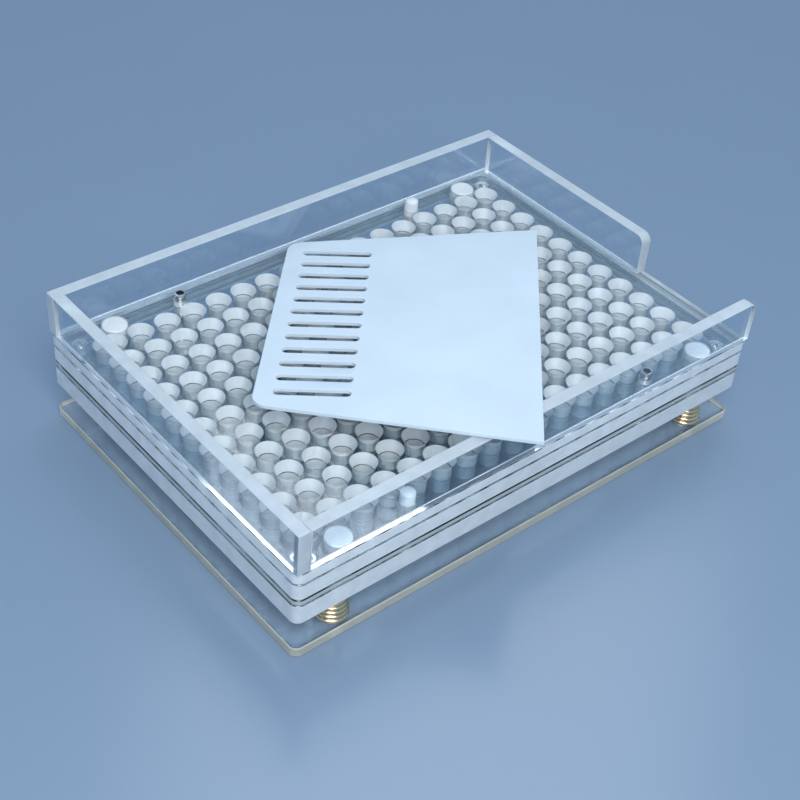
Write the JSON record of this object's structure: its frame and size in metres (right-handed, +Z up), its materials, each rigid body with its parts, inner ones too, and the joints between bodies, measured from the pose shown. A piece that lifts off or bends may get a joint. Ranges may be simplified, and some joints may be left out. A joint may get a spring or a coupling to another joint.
{
  "type": "capsule filler",
  "caption": "Manual capsule filler: a stack of clear drilled plates on sprung feet over a base plate, with a walled tray on top and a slotted scraper leaning in it.",
  "frame": {"origin": "middle of the base plate's underside, the face that the filler stands on", "axes": "+X along the board's long side towards the pouring gap's side, +Y towards the long wall that the scraper's corner rests against, +Z up"},
  "size_m": [0.197, 0.152, 0.0551],
  "materials": {
    "clear_acrylic": "clear cast sheet with frosted sawn edges",
    "tinted_acrylic": "clear cast sheet with olive edges",
    "frosted_acrylic": "sanded",
    "opal_plastic": "satin opal sheet",
    "polished_steel": "polished",
    "black_steel": "black oxide",
    "gold_spring_steel": "gold passivated wire"
  },
  "bodies": {
    "base": {"base_plate": "tinted_acrylic", "guide_stud_1": "black_steel", "guide_stud_2": "black_steel", "guide_stud_3": "black_steel", "guide_stud_4": "black_steel", "foot_spring_1": "gold_spring_steel", "foot_spring_2": "gold_spring_steel", "foot_spring_3": "gold_spring_steel", "foot_spring_4": "gold_spring_steel"},
    "body_plate": {"body_plate": "clear_acrylic", "guide_post_1": "frosted_acrylic", "guide_post_2": "frosted_acrylic", "guide_post_3": "frosted_acrylic", "guide_post_4": "frosted_acrylic", "locating_pin_1": "polished_steel", "locating_pin_2": "polished_steel", "locating_peg_1": "frosted_acrylic", "locating_peg_2": "frosted_acrylic"},
    "middle_plate": {"middle_plate": "clear_acrylic"},
    "cap_plate": {"cap_plate": "clear_acrylic", "cap_plate_screw_1": "polished_steel", "cap_plate_screw_2": "polished_steel", "cap_plate_screw_3": "polished_steel", "cap_plate_screw_4": "polished_steel"},
    "tray": {"tray_plate": "clear_acrylic", "tray_wall_back": "clear_acrylic", "tray_wall_front": "clear_acrylic", "tray_wall_left": "clear_acrylic", "tray_wall_right": "clear_acrylic"},
    "scraper": {"scraper": "opal_plastic"}
  },
  "joints": [
    {"name": "press_slide", "type": "slide", "parent": "base", "child": "body_plate", "axis": [0, 0, -1], "range_m": [0, 0.006], "stiffness_N_per_m": 2500, "springref_m": -0.006, "deforming": ["foot_spring_1", "foot_spring_2", "foot_spring_3", "foot_spring_4"]},
    {"name": "middle_plate_lift", "type": "slide", "parent": "body_plate", "child": "middle_plate", "axis": [0, 0, 1], "range_m": [0, 0.06]},
    {"name": "cap_plate_lift", "type": "slide", "parent": "middle_plate", "child": "cap_plate", "axis": [0, 0, 1], "range_m": [0, 0.06]},
    {"name": "tray_lift", "type": "slide", "parent": "cap_plate", "child": "tray", "axis": [0, 0, 1], "range_m": [0, 0.06]},
    {"name": "scraper_lift", "type": "slide", "parent": "tray", "child": "scraper", "axis": [0, 0, 1], "range_m": [0, 0.06]}
  ]
}
